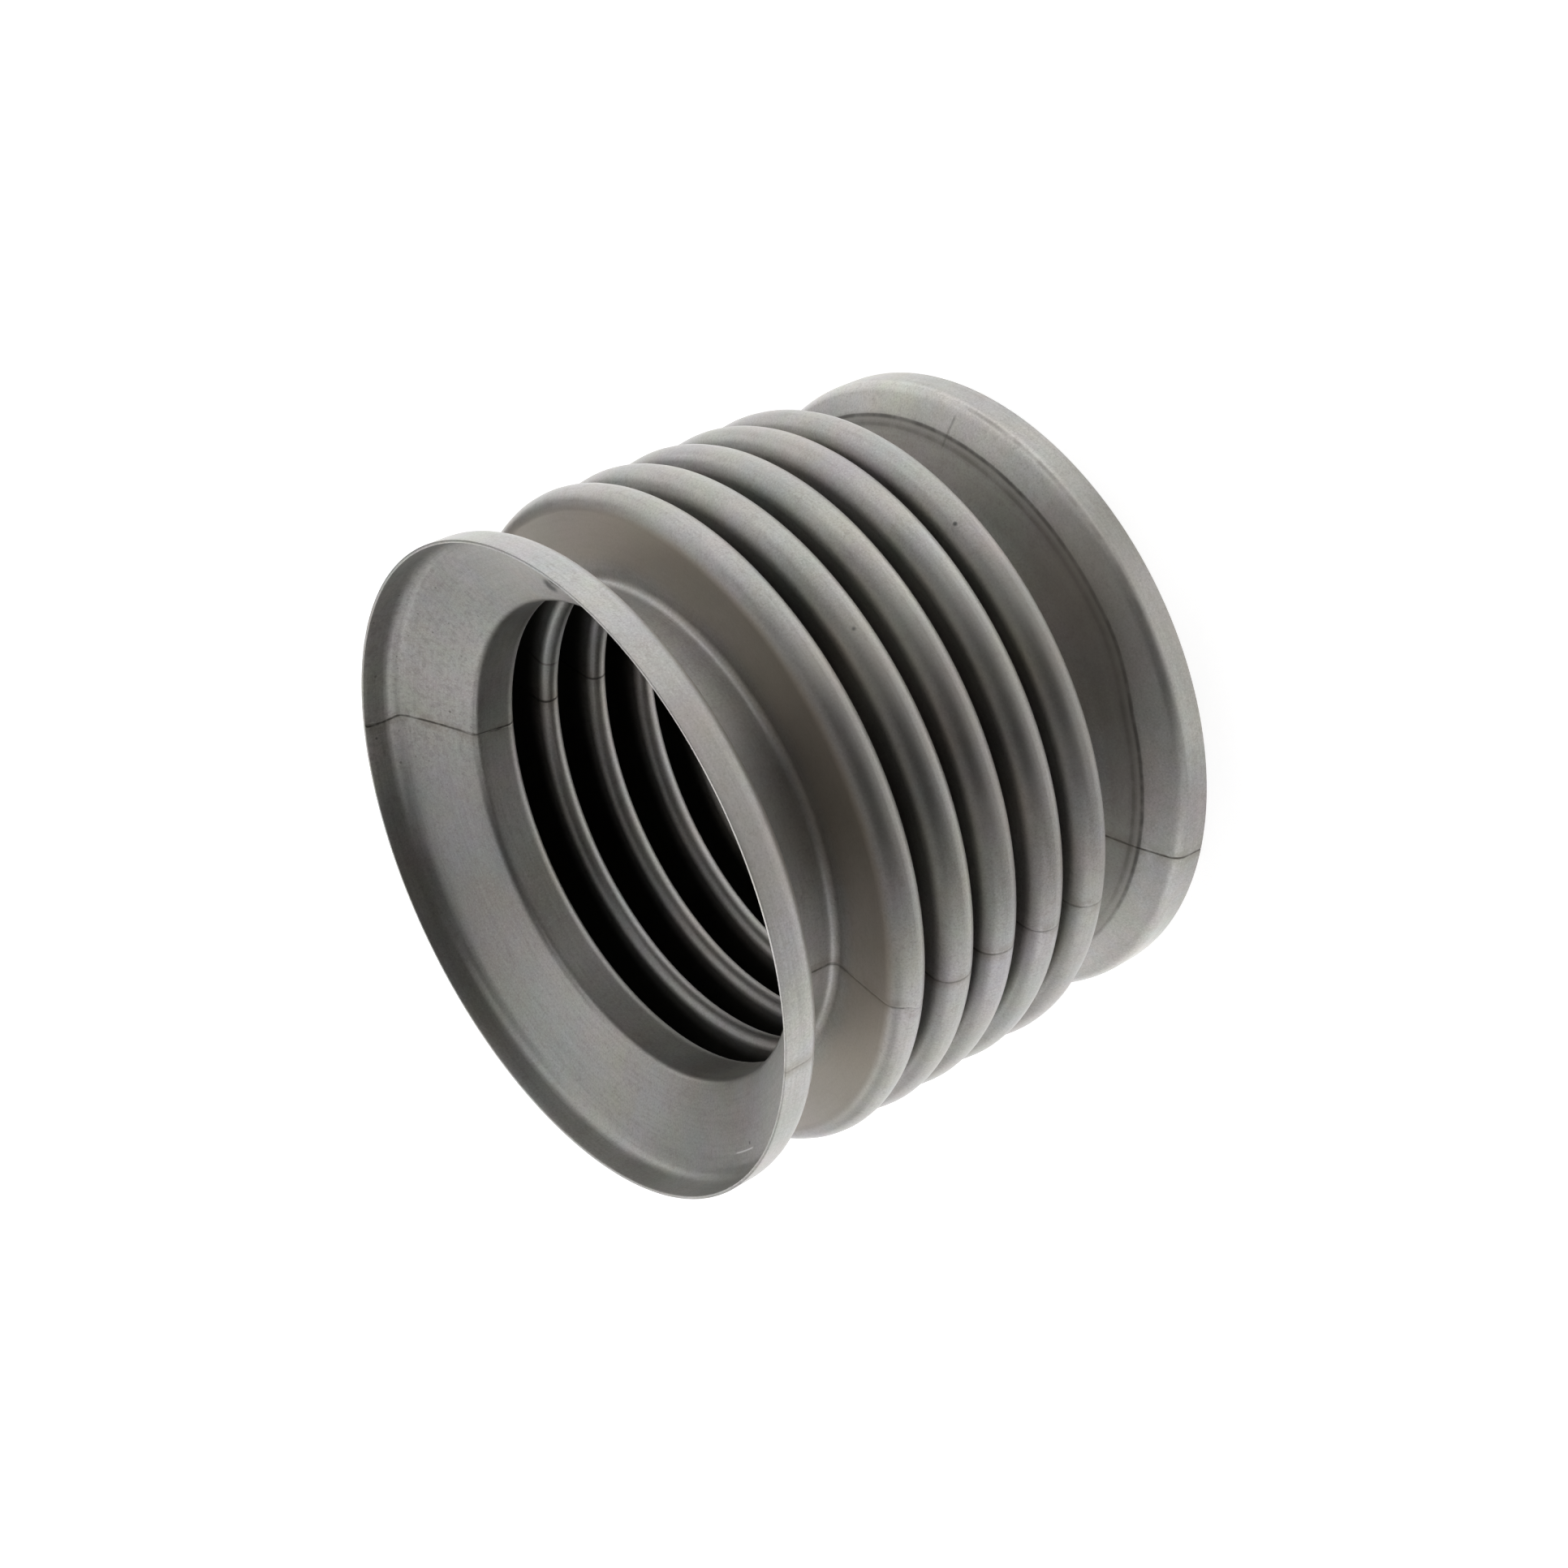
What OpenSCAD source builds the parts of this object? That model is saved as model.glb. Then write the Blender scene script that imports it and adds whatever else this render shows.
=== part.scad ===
// Flexible exhaust pipe: one thin steel tube, pressed into a row of round folds
// and flared at both ends to a short straight lip.
// It stands on its bottom lip. The origin is the centre of that lip's rim, and +Z is
// the pipe's axis, towards the top lip.

/* [Lips] */
// Outside diameter of the straight lip at each end
lip_d = 84.4; // [76:0.2:100]
// Height of the top lip, from its rim to where the flare's line meets it
top_lip_h = 4.5; // [3:0.1:12]
// Height of the bottom lip, from its rim to where the flare's line meets it
bottom_lip_h = 3.9; // [3:0.1:12]
// Outside radius of the bend between a lip and its flare
lip_bend_r = 3; // [0.8:0.1:4]

/* [Flares] */
// Height of the conical flare between a neck and its lip
flare_h = 5.5; // [4:0.1:10]
// Outside radius of the hollow bend between a flare and its neck
flare_bend_r = 0.8; // [0.5:0.1:4]

/* [Necks] */
// Inside diameter of the pipe, at its necks and between its folds
bore_d = 62.4; // [50:0.2:68]
// Height of the straight neck between the top flare and the top fold
top_neck_h = 6.4; // [4:0.1:20]
// Height of the straight neck between the bottom flare and the bottom fold
bottom_neck_h = 7.3; // [4:0.1:20]

/* [Folds] */
// Number of folds
folds = 5; // [1:1:12]
// Outside diameter over the folds
fold_d = 85.8; // [80:0.2:110]
// Distance from one fold to the next
pitch = 7.3; // [6.4:0.1:12]
// Width of a fold over its round crest
crest_w = 5.2; // [3:0.1:5.8]

/* [Sheet] */
// Thickness of the wall, all its plies together
wall = 0.4; // [0.3:0.1:0.8]

/* [Hidden] */

// Angle of one step along a bend
bend_step = 7.5;
// Facets round the axis, for the preview
around = 180;

// The profile is drawn along the middle of the sheet, with r from the axis and z up
lip_mid = lip_d / 2 - wall / 2;
neck_mid = bore_d / 2 + wall / 2;
flare_turn = atan2(lip_mid - neck_mid, flare_h);

// Radii of the bends, at the middle of the sheet
lip_bend_mid = lip_bend_r - wall / 2;
flare_bend_mid = flare_bend_r + wall / 2;
crest_mid = (crest_w - wall) / 2;
root_mid = pitch / 2 - crest_mid;

// How far each end's bends reach from the corner that they round
lip_cut = lip_bend_mid * tan(flare_turn / 2);
flare_cut = flare_bend_mid * tan(flare_turn / 2);

// Radius from the axis at which the centres of the bends lie
crest_centre = fold_d / 2 - wall / 2 - crest_mid;
root_centre = neck_mid + root_mid;
lip_centre = lip_mid - lip_bend_mid;
flare_centre = neck_mid + flare_bend_mid;

// Heights
bottom_flank_z = bottom_lip_h + flare_h + bottom_neck_h;
first_fold_z = bottom_flank_z + crest_mid;
last_fold_z = first_fold_z + (folds - 1) * pitch;
top_flank_z = last_fold_z + crest_mid;
height = top_flank_z + top_neck_h + flare_h + top_lip_h;

// Points along an arc from angle a to angle b
function bend(centre, radius, a, b) =
    let (steps = ceil(abs(b - a) / bend_step))
    [for (i = [0:steps]) let (t = a + (b - a) * i / steps) centre + radius * [cos(t), sin(t)]];

// One end of the sheet, from its rim up to the first flank, at offset o from the middle.
// A positive offset is the outside of the pipe.
function end_line(lip_h, neck_h, o) = concat(
    [[lip_mid + o, 0]],
    bend([lip_centre, lip_h - lip_cut], lip_bend_mid + o, 0, flare_turn),
    bend([flare_centre, lip_h + flare_h + flare_cut], flare_bend_mid - o, 180 + flare_turn, 180),
    bend([root_centre, lip_h + flare_h + neck_h - root_mid], root_mid - o, 180, 90)
);

// Every fold's crest, and the root between it and the next fold, at offset o
function fold_line(o) = [
    for (i = [0:folds - 1]) let (z = first_fold_z + i * pitch) each concat(
        bend([crest_centre, z], crest_mid + o, -90, 90),
        i < folds - 1 ? bend([root_centre, z + pitch / 2], root_mid - o, 270, 90) : []
    )
];

// The same points in the opposite order
function reversed(points) = [for (i = [len(points) - 1:-1:0]) points[i]];

// The points seen from the other end of the pipe
function flipped(points) = [for (p = reversed(points)) [p[0], height - p[1]]];

// The whole sheet from the bottom rim to the top rim, at offset o
function sheet_line(o) = concat(
    end_line(bottom_lip_h, bottom_neck_h, o),
    fold_line(o),
    flipped(end_line(top_lip_h, top_neck_h, o))
);

// Cut through one wall of the pipe
module sheet_section() {
    polygon(concat(sheet_line(wall / 2), reversed(sheet_line(-wall / 2))));
}

// The pipe: lips, flares, necks and folds are all one sheet
module bellows_pipe() {
    color("darkgray")
    rotate_extrude($fn = around)
    sheet_section();
}

bellows_pipe();
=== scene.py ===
"""Looks of the flexible exhaust pipe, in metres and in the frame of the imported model.

The pipe is one thin formed tube. It is built here as a closed skin of rings, with the folds a little
uneven, the crease that the die left round the bottom flare, and a weld line down each ply: one shows
on the outside, and the other, on the opposite side, on the inside.
"""

import math
from collections import namedtuple

import bpy
from mathutils import Matrix, Vector


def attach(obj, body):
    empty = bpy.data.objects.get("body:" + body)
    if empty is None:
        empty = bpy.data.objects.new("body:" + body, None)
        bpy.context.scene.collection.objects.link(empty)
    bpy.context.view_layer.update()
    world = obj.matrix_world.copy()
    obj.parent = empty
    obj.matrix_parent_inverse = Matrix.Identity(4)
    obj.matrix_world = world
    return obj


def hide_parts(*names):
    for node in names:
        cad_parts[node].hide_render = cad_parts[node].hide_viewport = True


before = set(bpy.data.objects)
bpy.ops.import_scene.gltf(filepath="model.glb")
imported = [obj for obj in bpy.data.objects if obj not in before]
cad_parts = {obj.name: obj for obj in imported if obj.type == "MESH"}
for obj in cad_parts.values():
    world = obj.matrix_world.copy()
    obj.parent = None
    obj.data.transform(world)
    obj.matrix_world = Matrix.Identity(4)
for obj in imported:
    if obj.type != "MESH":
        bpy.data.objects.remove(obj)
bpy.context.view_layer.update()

MM = 0.001

# Sizes of the sheet, as in part.scad (mm)
LIP_D = 84.4
TOP_LIP_H = 4.5
BOTTOM_LIP_H = 3.9
LIP_BEND_R = 3.0
FLARE_H = 5.5
FLARE_BEND_R = 0.8
BORE_D = 62.4
TOP_NECK_H = 6.4
BOTTOM_NECK_H = 7.3
FOLDS = 5
FOLD_D = 85.8
PITCH = 7.3
CREST_W = 5.2
WALL = 0.4

LIP_MID = LIP_D / 2 - WALL / 2
NECK_MID = BORE_D / 2 + WALL / 2
FLARE_BEND_MID = FLARE_BEND_R + WALL / 2
CREST_MID = (CREST_W - WALL) / 2
ROOT_MID = PITCH / 2 - CREST_MID
CREST_CENTRE = FOLD_D / 2 - WALL / 2 - CREST_MID
ROOT_CENTRE = NECK_MID + ROOT_MID
FIRST_FOLD_Z = BOTTOM_LIP_H + FLARE_H + BOTTOM_NECK_H + CREST_MID
TOP_FLANK_Z = FIRST_FOLD_Z + (FOLDS - 1) * PITCH + CREST_MID
HEIGHT = TOP_FLANK_Z + TOP_NECK_H + FLARE_H + TOP_LIP_H

# Rounding of the cut edges at the two rims
EDGE_R = 0.08

# How far each ring of the folds lies from its even place, in mm along the axis:
# (all round, towards +X, towards +Y), from the bottom to the top
CREST_SHIFTS = [
    (0.12, -0.32, 0.0), (-0.20, -0.55, 0.0), (0.0, -0.62, 0.0), (-0.10, 0.0, 0.0), (0.12, 0.0, 0.0)]
ROOT_SHIFTS = [(-0.05, -0.40, -0.10), (-0.12, -0.55, -0.15), (-0.05, -0.30, 0.10), (0.05, 0.0, 0.25)]
END_ROOT_SHIFTS = [(0.0, -0.15, 0.0), (0.05, 0.0, 0.2)]

# The weld lines: azimuth in degrees, and how they wander with height (mm, degrees)
OUTER_WELD = -136.0
INNER_WELD = 47.3
OUTER_WANDER = [(0, -1.5), (5, -1.2), (7, -0.9), (10, 0.0), (20, 0.6), (27, 0.4), (34, 1.2), (40, 0.5),
                (47.4, -0.7), (49.5, 0.6), (51, 0.4), (54, 0.8), (67, 0.3)]
INNER_WANDER = [(0, 0.0), (38, -0.9), (46, -0.3), (51.5, 1.4), (55, 0.6), (57.5, 0.1), (59.5, -0.6),
                (61.8, -0.6), (64, 0.5), (67, -0.3)]
WELD_DEPTH = 0.05
WELD_HALF = 0.14
# Degrees from a weld over which the skin's columns stop wandering with it
WELD_PULL = 4.0

# The skin's columns: how many even ones, and how far from each weld the close ones lie (degrees)
EVEN_COLUMNS = 240
CLOSE_COLUMNS = (0.0, 0.14, 0.28, 0.5, 0.9, 1.5)
NO_EVEN_WITHIN = 2.0

# The die left a faint crease round the bottom flare, and a lip bend a little tighter than the top
# one's. The crease's distance in from the lip goes up by a step between two azimuths, and drops
# again by the same step at a third, on the side that the photo doesn't show (mm, degrees).
BOTTOM_BEND_TIGHTER = 0.8
CREASE_IN = 3.6
CREASE_RISE = 0.22
CREASE_STEP = 0.8
CREASE_STEP_FROM = -92.0
CREASE_STEP_TO = -112.0
CREASE_JOIN = 44.0
CREASE_DEPTH = 0.02


def arc(centre, radius, start, end, steps):
    """Points (r, z) along an arc, both ends included."""
    points = []
    for i in range(steps + 1):
        t = math.radians(start + (end - start) * i / steps)
        points.append((centre[0] + radius * math.cos(t), centre[1] + radius * math.sin(t)))
    return points


def between(a, b, fractions):
    """Points on the straight line from a to b."""
    return [(a[0] + (b[0] - a[0]) * f, a[1] + (b[1] - a[1]) * f) for f in fractions]


def toward(a, b, distances):
    """Points on the straight line from a towards b, at given distances from a."""
    length = math.dist(a, b)
    return between(a, b, [d / length for d in distances])


def end_line(lip_h, bend_mid, neck_h, crease, offset):
    """One end of the sheet, from its rim to the first flank, as (r, z, zone, dent).

    The crease is given by its distance in from the lip and its rise over a straight cone.
    """
    crease_in, crease_rise = crease
    flare_top = lip_h + FLARE_H
    crease_r = LIP_MID - crease_in
    crease_z = lip_h + FLARE_H * crease_in / (LIP_MID - NECK_MID) + crease_rise
    lip_turn = math.degrees(math.atan2(crease_in, crease_z - lip_h))
    neck_turn = math.degrees(math.atan2(crease_r - NECK_MID, flare_top - crease_z))
    lip_cut = bend_mid * math.tan(math.radians(lip_turn / 2))
    neck_cut = FLARE_BEND_MID * math.tan(math.radians(neck_turn / 2))
    rim = between((LIP_MID + offset, EDGE_R), (LIP_MID + offset, lip_h - lip_cut), (0.0, 0.3, 0.65))
    lip_bend = arc((LIP_MID - bend_mid, lip_h - lip_cut), bend_mid + offset, 0, lip_turn, 6)
    hollow = arc(
        (NECK_MID + FLARE_BEND_MID, flare_top + neck_cut), FLARE_BEND_MID - offset, 180 + neck_turn, 180, 5)
    # The crease is the mitre of the two cones
    middle = math.radians((lip_turn + neck_turn) / 2)
    reach = offset / math.cos(math.radians((neck_turn - lip_turn) / 2))
    corner = (crease_r + reach * math.cos(middle), crease_z + reach * math.sin(middle))
    shoulder = list(reversed(toward(corner, lip_bend[-1], (0.12, 0.3, 0.7, 1.3))))
    slope = toward(corner, hollow[0], (0.12, 0.3, 0.55, 0.8, 1.4, 2.4, 3.8, 5.4))
    root = arc((ROOT_CENTRE, flare_top + neck_h - ROOT_MID), ROOT_MID - offset, 180, 90, 6)
    neck = between(hollow[-1], root[0], (0.1, 0.5, 0.9))
    return (
        [(r, z, "end", 0.0) for r, z in rim + lip_bend + shoulder]
        + [(corner[0], corner[1], "crease", 1.0)]
        + [(r, z, "end", 0.0) for r, z in slope + hollow + neck]
        + [(r, z, "end root", 0.0) for r, z in root])


def fold_lines(offset):
    """The crests and the roots between them, as (r, z, zone, dent)."""
    points = []
    for i in range(FOLDS):
        z = FIRST_FOLD_Z + i * PITCH
        crest = arc((CREST_CENTRE, z), CREST_MID + offset, -90, 90, 12)
        points += [(r, q, ("crest", i), 0.0) for r, q in crest]
        if i < FOLDS - 1:
            root = arc((ROOT_CENTRE, z + PITCH / 2), ROOT_MID - offset, 270, 90, 8)
            points += [(r, q, ("root", i), 0.0) for r, q in root]
    return points


def sheet_line(offset, crease_in):
    """The whole sheet from the bottom rim to the top rim, as (r, z, zone, dent)."""
    bend_mid = LIP_BEND_R - WALL / 2
    bottom_bend = bend_mid - BOTTOM_BEND_TIGHTER
    bottom_end = end_line(BOTTOM_LIP_H, bottom_bend, BOTTOM_NECK_H, (crease_in, CREASE_RISE), offset)
    top_end = end_line(TOP_LIP_H, bend_mid, TOP_NECK_H, (CREASE_IN, 0.0), offset)
    bottom = [(r, z, (zone, 0), dent) for r, z, zone, dent in bottom_end]
    top = [(r, HEIGHT - z, (zone, 1), 0.0) for r, z, zone, dent in reversed(top_end)]
    return bottom + fold_lines(offset) + top


def rim_edge(z, sign):
    """The two rounded edges of a rim, from the inside to the outside, as (r, z, zone, dent)."""
    outer = arc((LIP_MID + WALL / 2 - EDGE_R, z + sign * EDGE_R), EDGE_R, -90 * sign, 0, 3)
    inner = arc((LIP_MID - WALL / 2 + EDGE_R, z + sign * EDGE_R), EDGE_R, 180, 180 + 90 * sign, 3)
    return [(r, q, ("rim", 0), 0.0) for r, q in inner[1:] + outer[:-1]]


def eased(value, start, end):
    """From 0 at the start to 1 at the end, smoothly."""
    f = min(max((value - start) / (end - start), 0.0), 1.0)
    return f * f * (3 - 2 * f)


def shift_of(zone, azimuth):
    """How far a ring of the sheet lies from its even place, in mm along the axis."""
    kind, i = zone
    table = {"crest": CREST_SHIFTS, "root": ROOT_SHIFTS, "end root": END_ROOT_SHIFTS}.get(kind)
    if table is None:
        return 0.0
    level, along_x, along_y = table[i]
    return level + along_x * math.cos(azimuth) + along_y * math.sin(azimuth)


def wander(table, z):
    """A weld line's turn from its own azimuth at a height, in degrees."""
    for (z0, a0), (z1, a1) in zip(table, table[1:]):
        if z <= z1:
            return a0 + (a1 - a0) * eased(z, z0, z1)
    return table[-1][1]


def columns():
    """Azimuths of the skin's columns in degrees: even ones, and close ones along both welds."""
    angles = []
    for weld in (OUTER_WELD, INNER_WELD):
        for a in CLOSE_COLUMNS:
            angles += [weld + a, weld - a]
    for i in range(EVEN_COLUMNS):
        a = -180 + 360 / EVEN_COLUMNS * i
        if min(abs(a - OUTER_WELD), abs(a - INNER_WELD)) > NO_EVEN_WITHIN:
            angles.append(a)
    return sorted({round(a, 4) for a in angles})


def crease_at(angle):
    """The crease's distance in from the lip at an azimuth in degrees."""
    if angle > CREASE_JOIN:
        return CREASE_IN + CREASE_STEP
    return CREASE_IN + CREASE_STEP * eased(angle, CREASE_STEP_FROM, CREASE_STEP_TO)


def skin_rows(crease_in):
    """Rows of the closed skin as (r, z, zone, dent, on the outside)."""
    outside = [row + (True,) for row in sheet_line(WALL / 2, crease_in)]
    inside = [row + (False,) for row in reversed(sheet_line(-WALL / 2, crease_in))]
    top = [row + (True,) for row in reversed(rim_edge(HEIGHT, -1))]
    bottom = [row + (True,) for row in rim_edge(0, 1)]
    return outside + top + inside + bottom


def build_skin():
    """The closed skin of the sheet: points in metres, faces, and each face's material index."""
    angles = columns()
    profiles = [skin_rows(crease_at(a)) for a in angles]
    count = len(profiles[0])
    verts = []
    for k in range(count):
        for a, rows in zip(angles, profiles):
            r, z, zone, dent, is_outside = rows[k]
            before, after = rows[k - 1], rows[(k + 1) % count]
            # Direction square to the sheet, away from the metal
            run = Vector((after[0] - before[0], after[1] - before[1])).normalized()
            out = Vector((run.y, -run.x))
            weld, table = (OUTER_WELD, OUTER_WANDER) if is_outside else (INNER_WELD, INNER_WANDER)
            off = a - weld
            groove = WELD_DEPTH * max(0.0, 1 - abs(math.radians(off)) * r / WELD_HALF)
            if is_outside:
                groove += CREASE_DEPTH * dent
            t = math.radians(a + wander(table, z) * math.exp(-((off / WELD_PULL) ** 2)))
            radius = r - out.x * groove
            height = z - out.y * groove + shift_of(zone, t)
            verts.append((radius * math.cos(t) * MM, radius * math.sin(t) * MM, height * MM))
    faces = []
    kinds = []
    wide = len(angles)
    for k in range(count):
        n = (k + 1) % count
        for j in range(wide):
            m = (j + 1) % wide
            faces.append((k * wide + j, k * wide + m, n * wide + m, n * wide + j))
            kinds.append(0 if profiles[0][k][4] and profiles[0][n][4] else 1)
    return verts, faces, kinds


# Colours of the metal, of what lies on it, and of painted shade
DULL_STEEL = (0.375, 0.366, 0.347, 1)
BRIGHT_STEEL = (0.46, 0.45, 0.43, 1)
DARK_STREAK = (0.28, 0.27, 0.25, 1)
LIGHT_STREAK = (0.56, 0.55, 0.53, 1)
DARK_MOTTLE = (0.27, 0.258, 0.235, 1)
DARK_GRAIN = (0.24, 0.235, 0.22, 1)
LIGHT_GRAIN = (0.62, 0.61, 0.595, 1)
BLOTCH = (0.17, 0.165, 0.155, 1)
PIT = (0.10, 0.095, 0.085, 1)
WELD_STAIN = (0.24, 0.215, 0.18, 1)
WELD_LINE = (0.06, 0.053, 0.045, 1)
FAINT_LINE = (0.12, 0.11, 0.10, 1)
# Painted shade along the bottom lip's bend
BEND_SHADE = (0.14, 0.13, 0.12, 1)
ROOT_LINE = (0.08, 0.07, 0.06, 1)
INNER_FLARE = (0.30, 0.275, 0.245, 1)
# Painted shade in the gaps between the folds
FOLD_GAP_SHADE = (0.12, 0.112, 0.10, 1)
# Painted shade in the hollows inside the folds
FOLD_HOLLOW_SHADE = (0.07, 0.065, 0.055, 1)
BROWN_CAST = (0.43, 0.395, 0.36, 1)
BROWN_STAIN = (0.43, 0.385, 0.33, 1)
SCRATCH = (0.75, 0.74, 0.73, 1)
BLACK = (0.05, 0.05, 0.05, 1)

# How strongly a random tint moves red, green and blue
TINT_SPREAD = (1.0, 0.8, 1.2)

# Bands of height on the sheet (mm): where each starts, is full, stops being full, and ends
THIRD_LINE_Z = (4.6, 5.0, 6.6, 7.0)
BOTTOM_FLARE_Z = (4.2, 4.6, 8.2, 8.6)
SHOULDER_Z = (2.8, 3.5, 8.0, 9.0)
HOLLOW_SHADE_Z = (15.5, 17.0, 51.0, 52.5)
FOLDS_Z = (16.6, 16.9, 50.5, 50.8)
GAPS_Z = (19.5, 21.0, 46.3, 47.8)
TOP_ROOT_Z = (44.0, 45.0, 47.5, 48.5)
TOP_FLARE_Z = (57.0, 58.5, 62.2, 63.2)

# Bands of azimuth (degrees), in the same order
# Painted light on the ends: the side where it is strongest, and the part where it is lessened
PAINTED_LIGHT_SIDE = (-179, -166, -92, -74)
LESS_PAINTED_LIGHT_SIDE = (-179, -155, -125, -108)
# The side where painted shade lies along the bottom lip's bend
BEND_SHADE_SIDE = (-112, -95, -50, -38)

# Lines along the crease: distance in from it, half width (mm), colour and strength
CREASE_LINES = [
    (0.5, 1.4, (0.17, 0.16, 0.14, 1), 0.38),
    (0.0, 0.30, (0.06, 0.055, 0.05, 1), 0.7),
    (0.45, 0.2, (0.52, 0.50, 0.47, 1), 0.22),
    (1.0, 0.3, (0.12, 0.11, 0.10, 1), 0.35),
]

# Spots: azimuth in degrees, radius from the axis, height and size (mm)
DOTS = [(-66.5, 42.4, 20.6, 0.4), (-75.8, 42.6, 41.6, 0.4)]
SMUDGE = [(-24.6, 33.9, 58.7, 1.5), (-27.3, 34.7, 59.0, 1.3)]
SPECKS = [(-175.0, 38.56, 60.88, 0.35), (177.3, 41.66, 62.73, 0.3)]

# Azimuths of the two short lines beside the welds
THIRD_LINE = -43.0
ROOT_LINE_AT = 36.1

# The weld line's curve in the material: its steps, and the degrees that its whole height stands for
CURVE_STEPS = 24
CURVE_REACH = 4.0

ROUGH_LOW = 0.46
ROUGH_HIGH = 0.54

# A point of the surface: place, its parts and its radius in mm, and its azimuth in radians and degrees
Place = namedtuple("Place", "point x y z radius azimuth degrees")


class Nodes:
    """Adds nodes to one material or world."""

    def __init__(self, tree):
        self.tree = tree

    def add(self, kind, **values):
        """A new node, with its properties set."""
        made = self.tree.nodes.new(kind)
        for key, value in values.items():
            setattr(made, key, value)
        return made

    def join(self, value, socket):
        """Sets a socket to a number or a colour, or links it to another socket."""
        if isinstance(value, bpy.types.NodeSocket):
            self.tree.links.new(value, socket)
        else:
            socket.default_value = value

    def calc(self, operation, a, b=0.0, c=0.0):
        """The result of one sum on numbers."""
        made = self.add("ShaderNodeMath", operation=operation)
        for value, socket in zip((a, b, c), made.inputs):
            self.join(value, socket)
        return made.outputs[0]

    def product(self, first, *others):
        """Several numbers multiplied."""
        for value in others:
            first = self.calc("MULTIPLY", first, value)
        return first

    def scaled(self, value, gain, level):
        """A number times a gain, plus a level."""
        return self.calc("MULTIPLY_ADD", value, gain, level)

    def ramp(self, value, zero_at, one_at, shape="SMOOTHSTEP"):
        """From 0 at one value to 1 at another."""
        made = self.add("ShaderNodeMapRange", interpolation_type=shape, clamp=True)
        self.join(value, made.inputs["Value"])
        made.inputs["From Min"].default_value = zero_at
        made.inputs["From Max"].default_value = one_at
        return made.outputs["Result"]

    def band(self, value, start, full_from, full_to, end):
        """1 between two values, falling to 0 at two outer ones."""
        return self.product(self.ramp(value, start, full_from), self.ramp(value, end, full_to))

    def near(self, value, middle, reach, full):
        """1 within a small distance of a value, falling to 0 at the reach."""
        return self.ramp(self.calc("ABSOLUTE", self.calc("SUBTRACT", value, middle)), reach, full)

    def mark(self, colour, amount, paint):
        """The colour with another laid over it by an amount from 0 to 1."""
        made = self.add("ShaderNodeMix", data_type="RGBA", clamp_factor=True)
        for value, socket in zip((amount, colour, paint), (0, 6, 7)):
            self.join(value, made.inputs[socket])
        return made.outputs[2]

    def times(self, vector, factor):
        """A colour or a place times a number."""
        made = self.add("ShaderNodeVectorMath", operation="SCALE")
        self.join(vector, made.inputs[0])
        self.join(factor, made.inputs["Scale"])
        return made.outputs["Vector"]

    def noise(self, vector, scale, detail, rough=0.5, output="Fac"):
        """Soft noise over patches of about 1 / scale."""
        made = self.add("ShaderNodeTexNoise")
        self.join(vector, made.inputs["Vector"])
        made.inputs["Scale"].default_value = scale
        made.inputs["Detail"].default_value = detail
        made.inputs["Roughness"].default_value = rough
        return made.outputs[output]

    def tinted(self, colour, point, scale, strength):
        """The colour times a soft random tint that changes over patches of about 1 / scale mm."""
        spread = Vector(TINT_SPREAD) * strength
        tint = self.add("ShaderNodeVectorMath", operation="MULTIPLY_ADD")
        self.join(self.noise(point, scale, 2.0, output="Color"), tint.inputs[0])
        tint.inputs[1].default_value = 2 * spread
        tint.inputs[2].default_value = Vector((1, 1, 1)) - spread
        made = self.add("ShaderNodeVectorMath", operation="MULTIPLY")
        self.join(colour, made.inputs[0])
        self.join(tint.outputs[0], made.inputs[1])
        return made.outputs[0]

    def position(self):
        """The point of the surface that is being drawn."""
        point = self.times(self.add("ShaderNodeTexCoord").outputs["Object"], 1 / MM)
        split = self.add("ShaderNodeSeparateXYZ")
        self.join(point, split.inputs[0])
        x, y, z = split.outputs
        radius = self.calc("SQRT", self.calc("ADD", self.product(x, x), self.product(y, y)))
        azimuth = self.calc("ARCTAN2", y, x)
        return Place(point, x, y, z, radius, azimuth, self.calc("DEGREES", azimuth))

    def spot(self, at, degrees, radius, height, size):
        """1 at a point of the sheet, falling to 0 at the given distance in mm."""
        t = math.radians(degrees)
        made = self.add("ShaderNodeVectorMath", operation="DISTANCE")
        self.join(at.point, made.inputs[0])
        made.inputs[1].default_value = (radius * math.cos(t), radius * math.sin(t), height)
        return self.ramp(made.outputs["Value"], size, size * 0.3)

    def beside(self, at, degrees, turn=0.0):
        """Distance in mm round the pipe from a line along it, which may be turned further (radians)."""
        off = self.calc("SUBTRACT", self.calc("SUBTRACT", at.azimuth, math.radians(degrees)), turn)
        return self.product(self.calc("ABSOLUTE", off), at.radius)


def new_material(name):
    """A material without nodes but its output."""
    made = bpy.data.materials.new(name)
    made.use_nodes = True
    made.node_tree.nodes.clear()
    n = Nodes(made.node_tree)
    return made, n, n.add("ShaderNodeOutputMaterial").inputs["Surface"]


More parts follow.
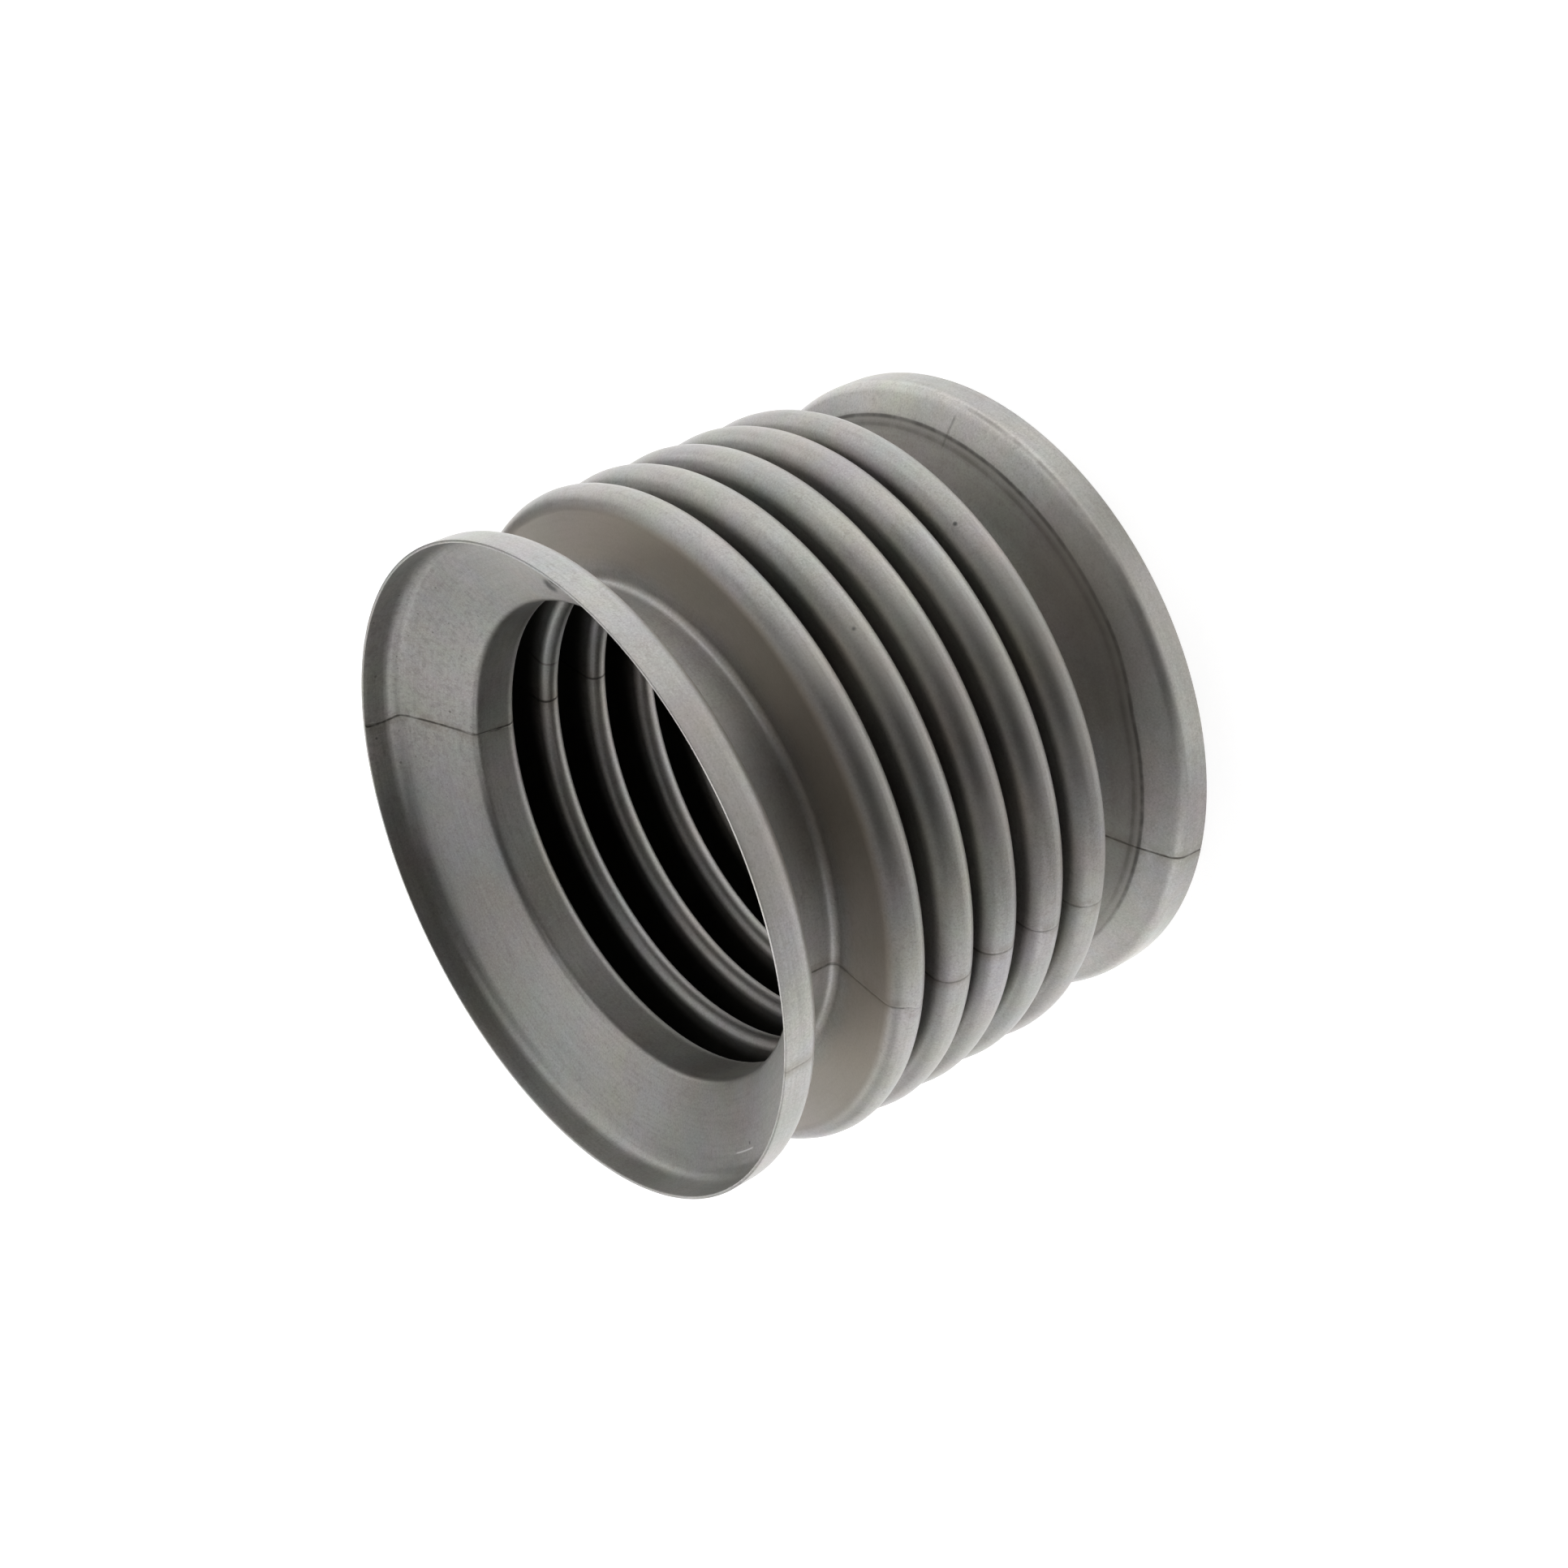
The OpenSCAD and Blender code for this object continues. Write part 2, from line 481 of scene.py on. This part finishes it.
def crease_marks(n, colour, at, patchy):
    """The die's crease on the bottom flare; also gives the distance in from it, in mm."""
    step = n.calc(
        "MAXIMUM", n.ramp(at.degrees, CREASE_STEP_FROM, CREASE_STEP_TO),
        n.calc("GREATER_THAN", at.degrees, CREASE_JOIN))
    crease_r = n.scaled(step, -CREASE_STEP, LIP_MID - CREASE_IN + 0.1)
    inwards = n.calc("SUBTRACT", crease_r, at.radius)
    on_flare = n.band(at.z, *BOTTOM_FLARE_Z)
    # Patchy, and fainter at both ends of the side that the photo shows
    seen = n.product(
        on_flare, n.scaled(patchy, 0.35, 0.65), n.scaled(n.ramp(at.degrees, 10, CREASE_JOIN), -0.75, 1.0),
        n.scaled(n.ramp(at.degrees, -165, -140), 0.75, 0.25))
    colour = n.mark(colour, n.product(on_flare, n.ramp(inwards, -0.1, 0.1), 0.3), INNER_FLARE)
    for middle, half, paint, strength in CREASE_LINES:
        amount = n.product(n.near(inwards, middle, half, half * 0.3), seen, strength)
        colour = n.mark(colour, amount, paint)
    return colour, inwards


def painted_light_on_ends(n, colour, at, inwards):
    """Painted light on both lips, on the bottom shoulder and on the back of the top flare, strongest on one
    side.
    """
    # The painted light is strongest on one side of the pipe, and lessened on part of that side
    lessened = n.scaled(n.band(at.degrees, *LESS_PAINTED_LIGHT_SIDE), -0.6, 1.0)
    strongest = n.product(n.band(at.degrees, *PAINTED_LIGHT_SIDE), lessened)
    top_lip = n.product(n.ramp(at.z, 62.2, 63.2), n.ramp(at.degrees, -152, -125))
    lips = n.calc("MAXIMUM", top_lip, n.ramp(at.z, 3.6, 3.0))
    lips = n.product(lips, n.scaled(strongest, 0.78, 0.04))
    shoulder = n.product(
        n.band(at.z, *SHOULDER_Z), n.ramp(inwards, 0.1, -0.3), n.scaled(lessened, 0.4, 0.55))
    flares = n.calc("MAXIMUM", n.band(at.z, *TOP_FLARE_Z), shoulder)
    bright = n.calc("MAXIMUM", lips, n.product(flares, 0.42))
    return n.times(colour, n.scaled(bright, 0.8, 1.0))


def painted_light_on_folds(n, colour, at):
    """Painted highlight along each fold's lower edge, and painted shade above it, round one azimuth."""
    along = n.calc("MODULO", n.calc("SUBTRACT", at.z, FIRST_FOLD_Z - PITCH / 2), PITCH)
    along = n.calc("SUBTRACT", along, PITCH / 2)
    on_crest = n.product(
        n.band(at.z, *FOLDS_Z), n.ramp(at.radius, 39.8, 41.2), n.near(at.degrees, -95, 43.0, 8.6))
    painted_highlight = n.product(n.ramp(along, -0.3, -1.4), 0.75)
    painted_shade_above = n.product(n.band(along, -0.35, 0.1, 1.0, 2.2), -0.34)
    return n.times(colour, n.scaled(n.calc("ADD", painted_highlight, painted_shade_above), on_crest, 1.0))


def outside_marks(n, colour, at, patchy, tone):
    """The marks, painted light and painted shade that only the outside of the sheet has."""
    colour, inwards = crease_marks(n, colour, at, patchy)

    # Painted shade: a dark line where the bottom lip's bend starts, on part of the way round
    bend_shade = n.product(
        n.near(at.z, 3.75, 0.4, 0.05), n.band(at.degrees, *BEND_SHADE_SIDE), n.scaled(patchy, 0.3, 0.25))
    colour = n.mark(colour, bend_shade, BEND_SHADE)

    # Painted shade in the gaps between the folds
    gap_shade = n.product(n.ramp(at.radius, 40.6, 37.5), n.band(at.z, *GAPS_Z), 0.6)
    colour = n.mark(colour, gap_shade, FOLD_GAP_SHADE)

    # Painted light on the lips and flares
    colour = painted_light_on_ends(n, colour, at, inwards)
    # Painted highlight and painted shade on the folds
    colour = painted_light_on_folds(n, colour, at)

    # Slight brown cast on the side that faces the camera
    cast = n.product(n.near(at.degrees, -92, 31.5, 8.6), n.scaled(tone, 0.8, -0.05))
    colour = n.mark(colour, cast, BROWN_CAST)

    # Brown stain on the flank beside the top neck
    brown = n.product(n.ramp(at.z, 48.5, 50.2), n.band(at.radius, 33.0, 35.5, 40.2, 42.0), 0.6)
    colour = n.mark(colour, brown, BROWN_STAIN)

    # Faint third line across the shoulder, and two dots
    faint = n.product(n.ramp(n.beside(at, THIRD_LINE), 0.25, 0.08), n.band(at.z, *THIRD_LINE_Z), 0.4)
    colour = n.mark(colour, faint, FAINT_LINE)
    for dot in DOTS:
        colour = n.mark(colour, n.product(n.spot(at, *dot), 0.8), BLACK)
    return colour


def inside_marks(n, colour, at, mottle):
    """The marks and painted shade that only the inside of the sheet has."""
    # Ragged dark smudge on the top flare
    smudge = n.calc("MAXIMUM", *[n.spot(at, *part) for part in SMUDGE])
    smudge = n.product(smudge, n.scaled(n.ramp(mottle, 0.35, 0.55), 0.5, 0.5), 0.9)
    colour = n.mark(colour, smudge, BLACK)

    # Short line on the topmost root, and painted shade inside the folds
    second = n.product(n.ramp(n.beside(at, ROOT_LINE_AT), 0.25, 0.08), n.band(at.z, *TOP_ROOT_Z), 0.5)
    colour = n.mark(colour, second, ROOT_LINE)
    hollow_shade = n.product(n.ramp(at.radius, 32.6, 35.0), n.band(at.z, *HOLLOW_SHADE_Z), 0.85)
    colour = n.mark(colour, hollow_shade, FOLD_HOLLOW_SHADE)

    # Light scratch on the top flare's -X side, with two specks beside it
    scratch = n.product(
        n.near(at.radius, 39.14, 0.12, 0.04), n.near(at.y, -2.0, 2.6, 1.8),
        n.calc("LESS_THAN", at.x, 0.0), n.calc("GREATER_THAN", at.z, 58.0))
    colour = n.mark(colour, scratch, SCRATCH)
    for speck in SPECKS:
        colour = n.mark(colour, n.product(n.spot(at, *speck), 0.8), BLACK)
    return colour


def pitted(n, colour, at, inside):
    """Small dark pits, most of them in one part of the top flare; also gives where they are."""
    cells = n.add("ShaderNodeTexVoronoi", feature="F1")
    n.join(at.point, cells.inputs["Vector"])
    cells.inputs["Scale"].default_value = 0.75
    cell_value = n.add("ShaderNodeSeparateColor")
    n.join(cells.outputs["Color"], cell_value.inputs[0])
    # Only cells with a random value above this one have a pit
    above = 0.88
    if inside:
        in_part = n.product(n.near(at.degrees, 28, 45.8, 20.1), n.ramp(at.z, 55.0, 57.0))
        above = n.scaled(in_part, -0.4, above)
        blotches = n.ramp(n.noise(at.point, 1.1, 5.0, 0.7), 0.49, 0.60)
        colour = n.mark(colour, n.product(blotches, in_part, 0.26), BLOTCH)
    over = n.calc("SUBTRACT", cell_value.outputs[0], above)
    size = n.product(n.ramp(over, 0.0, 0.5, "LINEAR"), 0.15)
    pits = n.ramp(n.calc("SUBTRACT", cells.outputs["Distance"], size), 0.04, -0.02)
    pits = n.product(pits, n.ramp(over, 0.0, 0.05))
    return n.mark(colour, n.product(pits, 0.6), PIT), pits


def weld_turn(n, at, table):
    """The weld line's turn from its own azimuth at this height, in radians."""
    turns = n.add("ShaderNodeFloatCurve")
    turns.inputs["Factor"].default_value = 1.0
    n.join(n.calc("DIVIDE", at.z, HEIGHT), turns.inputs["Value"])
    curve = turns.mapping.curves[0]
    curve.points[0].location = (0.0, 0.5 + wander(table, 0.0) / CURVE_REACH)
    curve.points[1].location = (1.0, 0.5 + wander(table, HEIGHT) / CURVE_REACH)
    for i in range(1, CURVE_STEPS):
        f = i / CURVE_STEPS
        curve.points.new(f, 0.5 + wander(table, f * HEIGHT) / CURVE_REACH)
    turns.mapping.update()
    return n.product(n.calc("SUBTRACT", turns.outputs["Value"], 0.5), math.radians(CURVE_REACH))


def weld_marks(n, colour, at, weld_deg, table, patchy, inside):
    """The weld line, thin and dark, with a dull stain beside it."""
    off = n.beside(at, weld_deg, weld_turn(n, at, table))
    stain = n.product(n.ramp(off, 1.8, 0.1), patchy, 0.45)
    colour = n.mark(colour, stain, WELD_STAIN)
    line = n.product(n.ramp(off, 0.24, 0.07), n.scaled(patchy, 0.45, 0.45))
    if not inside:
        # Worn faint over the crests, and gone on the top flare
        above_flare = n.ramp(at.z, 12.0, 14.0)
        worn = n.scaled(n.product(n.ramp(at.radius, 40.5, 42.3), above_flare), -0.4, 1.0)
        worn = n.scaled(above_flare, -0.35, worn)
        line = n.product(line, worn, n.ramp(at.z, 61.0, 57.0))
    return n.mark(colour, line, WELD_LINE)


def steel(name, weld_deg, table, inside):
    """Matte pickled steel, with the marks, painted light and painted shade of one side of the sheet."""
    made, n, surface = new_material(name)
    shader = n.add("ShaderNodeBsdfPrincipled")
    n.join(shader.outputs[0], surface)
    at = n.position()

    # Soft cloudy changes of tone, then of tint
    tone = n.noise(at.point, 0.07, 3.0, 0.55)
    colour = n.mark(DULL_STEEL, n.ramp(tone, 0.28, 0.72), BRIGHT_STEEL)
    colour = n.tinted(colour, at.point, 0.10, 0.10)
    colour = n.tinted(colour, at.point, 0.45, 0.05)

    # Streaks round the pipe, left by forming it
    streak_at = n.add("ShaderNodeCombineXYZ")
    n.join(n.calc("ADD", at.radius, n.product(at.z, 1.3)), streak_at.inputs[0])
    n.join(n.product(n.calc("COSINE", at.azimuth), 2.0), streak_at.inputs[1])
    n.join(n.product(n.calc("SINE", at.azimuth), 2.0), streak_at.inputs[2])
    streaks = n.noise(streak_at.outputs[0], 2.2, 3.0, 0.6)
    colour = n.mark(colour, n.product(n.ramp(streaks, 0.48, 0.68), 0.24), DARK_STREAK)
    colour = n.mark(colour, n.product(n.ramp(streaks, 0.46, 0.34), 0.16), LIGHT_STREAK)

    # Mottling of 1 to 2 mm, and fine grain
    mottle = n.noise(at.point, 0.9, 3.0, 0.6)
    colour = n.mark(colour, n.product(n.ramp(mottle, 0.5, 0.72), 0.30), DARK_MOTTLE)
    grain = n.noise(at.point, 4.0, 3.0, 0.65)
    colour = n.mark(colour, n.product(n.ramp(grain, 0.51, 0.68), 0.42), DARK_GRAIN)
    colour = n.mark(colour, n.product(n.ramp(grain, 0.48, 0.32), 0.30), LIGHT_GRAIN)

    colour, pits = pitted(n, colour, at, inside)
    patchy = n.ramp(n.noise(at.point, 0.5, 2.0), 0.35, 0.6)
    colour = weld_marks(n, colour, at, weld_deg, table, patchy, inside)
    if inside:
        colour = inside_marks(n, colour, at, mottle)
    else:
        colour = outside_marks(n, colour, at, patchy, tone)

    n.join(colour, shader.inputs["Base Color"])
    shader.inputs["Metallic"].default_value = 1.0
    # Thin film of oxide: it brightens the sheet only where it is seen at a flat angle
    shader.inputs["Coat Weight"].default_value = 0.5
    shader.inputs["Coat Roughness"].default_value = 0.3
    shader.inputs["Coat IOR"].default_value = 1.4
    roughness = n.scaled(n.ramp(tone, 0.3, 0.7, "LINEAR"), ROUGH_HIGH - ROUGH_LOW, ROUGH_LOW)
    n.join(roughness, shader.inputs["Roughness"])

    height = n.scaled(grain, 0.5, n.product(streaks, 0.6))
    height = n.calc("SUBTRACT", height, n.product(pits, 1.5))
    bump = n.add("ShaderNodeBump")
    bump.inputs["Strength"].default_value = 0.35
    bump.inputs["Distance"].default_value = 0.02 * MM
    n.join(height, bump.inputs["Height"])
    n.join(bump.outputs["Normal"], shader.inputs["Normal"])
    return made


def make_pipe():
    """The pipe's skin as one object, with a material for each side of the sheet."""
    verts, faces, kinds = build_skin()
    mesh = bpy.data.meshes.new("formed_tube")
    mesh.from_pydata(verts, [], faces)
    mesh.materials.append(steel("steel_outside", OUTER_WELD, OUTER_WANDER, False))
    mesh.materials.append(steel("steel_inside", INNER_WELD, INNER_WANDER, True))
    mesh.polygons.foreach_set("material_index", kinds)
    mesh.polygons.foreach_set("use_smooth", [True] * len(faces))
    mesh.update()
    pipe = bpy.data.objects.new("formed_tube", mesh)
    bpy.context.scene.collection.objects.link(pipe)
    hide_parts("bellows_pipe")
    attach(pipe, "root")


# The floor: half its width in metres, its grey, its glow near the pipe for the camera, and the
# azimuth in degrees towards which it is dark in reflections
FLOOR_HALF = 3.0
FLOOR_GREY = (0.6, 0.6, 0.6, 1)
FLOOR_SEEN = 0.8
DARK_SIDE = 250.0


def make_floor():
    """A wide pale floor that the camera and reflections see as white, with the pipe's shadow."""
    mesh = bpy.data.meshes.new("floor")
    corners = [(x * FLOOR_HALF, y * FLOOR_HALF, 0) for x, y in ((-1, -1), (1, -1), (1, 1), (-1, 1))]
    mesh.from_pydata(corners, [], [(0, 1, 2, 3)])
    floor = bpy.data.objects.new("floor", mesh)
    bpy.context.scene.collection.objects.link(floor)

    made, n, surface = new_material("pale_floor")
    diffuse = n.add("ShaderNodeBsdfDiffuse")
    diffuse.inputs["Color"].default_value = FLOOR_GREY
    glow = n.add("ShaderNodeEmission")
    rays = n.add("ShaderNodeLightPath").outputs
    at = n.position()

    # In the pipe's reflections the floor is dark towards the camera's side of the room
    dark_to = math.radians(DARK_SIDE)
    along = n.calc("ADD", n.product(at.x, math.cos(dark_to)), n.product(at.y, math.sin(dark_to)))
    dark = n.ramp(n.calc("DIVIDE", along, at.radius), 0.55, 0.92)
    dark = n.product(dark, n.scaled(n.ramp(at.radius, 50, 160), 0.45, 0.5))
    mirrored = n.product(rays["Is Glossy Ray"], n.scaled(dark, -1.0, 1.0))

    # To the camera it is white far away, and a little less near the pipe, where the lamps add to it
    direct = n.calc("MAXIMUM", rays["Is Camera Ray"], rays["Is Transmission Ray"])
    shown = n.scaled(n.ramp(at.radius, 250, 1000), 1.0 - FLOOR_SEEN, FLOOR_SEEN)
    n.join(n.scaled(direct, shown, mirrored), glow.inputs["Strength"])

    both = n.add("ShaderNodeAddShader")
    n.join(diffuse.outputs[0], both.inputs[0])
    n.join(glow.outputs[0], both.inputs[1])
    n.join(both.outputs[0], surface)
    mesh.materials.append(made)


def make_world():
    """White to the camera only, so that it gives no light."""
    world = bpy.data.worlds.new("studio")
    world.use_nodes = True
    n = Nodes(world.node_tree)
    background = world.node_tree.nodes["Background"]
    background.inputs["Color"].default_value = (1, 1, 1, 1)
    n.join(n.add("ShaderNodeLightPath").outputs["Is Camera Ray"], background.inputs["Strength"])
    bpy.context.scene.world = world


# Soft boxes all round: azimuth and elevation in degrees, and power in watts
LIGHTS = [
    (-60, 14, 0.55), (-30, 14, 1.03), (0, 14, 0.88), (30, 14, 1.02), (90, 14, 1.39), (120, 14, 0.58),
    (150, 14, 0.63), (180, 14, 1.2), (210, 14, 0.5), (0, 42, 0.79), (45, 42, 0.46), (90, 42, 0.73),
    (135, 42, 1.1), (180, 42, 0.44), (-45, 42, 0.24), (-60, 68, 0.22), (30, 68, 0.89), (120, 68, 0.46),
    (-150, 68, 0.18), (0, 90, 0.1),
]
# Their width and their distance from the pipe's middle, in metres
LIGHT_SIZE = 0.42
LIGHT_DISTANCE = 1.0


def soft_light(number, azimuth, elevation, power):
    """A square soft box that looks at the middle of the pipe."""
    centre = Vector((0, 0, HEIGHT / 2 * MM))
    a, e = math.radians(azimuth), math.radians(elevation)
    away = Vector((math.cos(a) * math.cos(e), math.sin(a) * math.cos(e), math.sin(e)))
    name = f"soft_box_{number}"
    lamp = bpy.data.lights.new(name, "AREA")
    lamp.shape = "SQUARE"
    lamp.size = LIGHT_SIZE
    lamp.energy = power
    placed = bpy.data.objects.new(name, lamp)
    placed.location = centre + away * LIGHT_DISTANCE
    placed.rotation_euler = away.to_track_quat("Z", "Y").to_euler()
    bpy.context.scene.collection.objects.link(placed)


# Camera of the photograph, fitted to the pipe's rings: place, axes, and lens and sensor width (mm)
CAMERA_AT = (-1.65, -281.395, 208.679)
CAMERA_RIGHT = (-0.43358, -0.47774, -0.76405)
CAMERA_UP = (0.90111, -0.22987, -0.36763)
CAMERA_LENS = 60.573
CAMERA_SENSOR = 36


def make_camera():
    """The photograph's camera."""
    data = bpy.data.cameras.new("camera")
    data.sensor_width = CAMERA_SENSOR
    data.lens = CAMERA_LENS
    data.clip_start = 0.01
    camera = bpy.data.objects.new("camera", data)
    right, up = Vector(CAMERA_RIGHT), Vector(CAMERA_UP)
    turn = Matrix((right, up, right.cross(up))).transposed().to_4x4()
    camera.matrix_world = Matrix.Translation(Vector(CAMERA_AT) * MM) @ turn
    bpy.context.scene.collection.objects.link(camera)
    bpy.context.scene.camera = camera


make_pipe()
make_floor()
make_world()
for number, light in enumerate(LIGHTS, 1):
    soft_light(number, *light)
make_camera()
bpy.context.scene.view_settings.view_transform = "Standard"
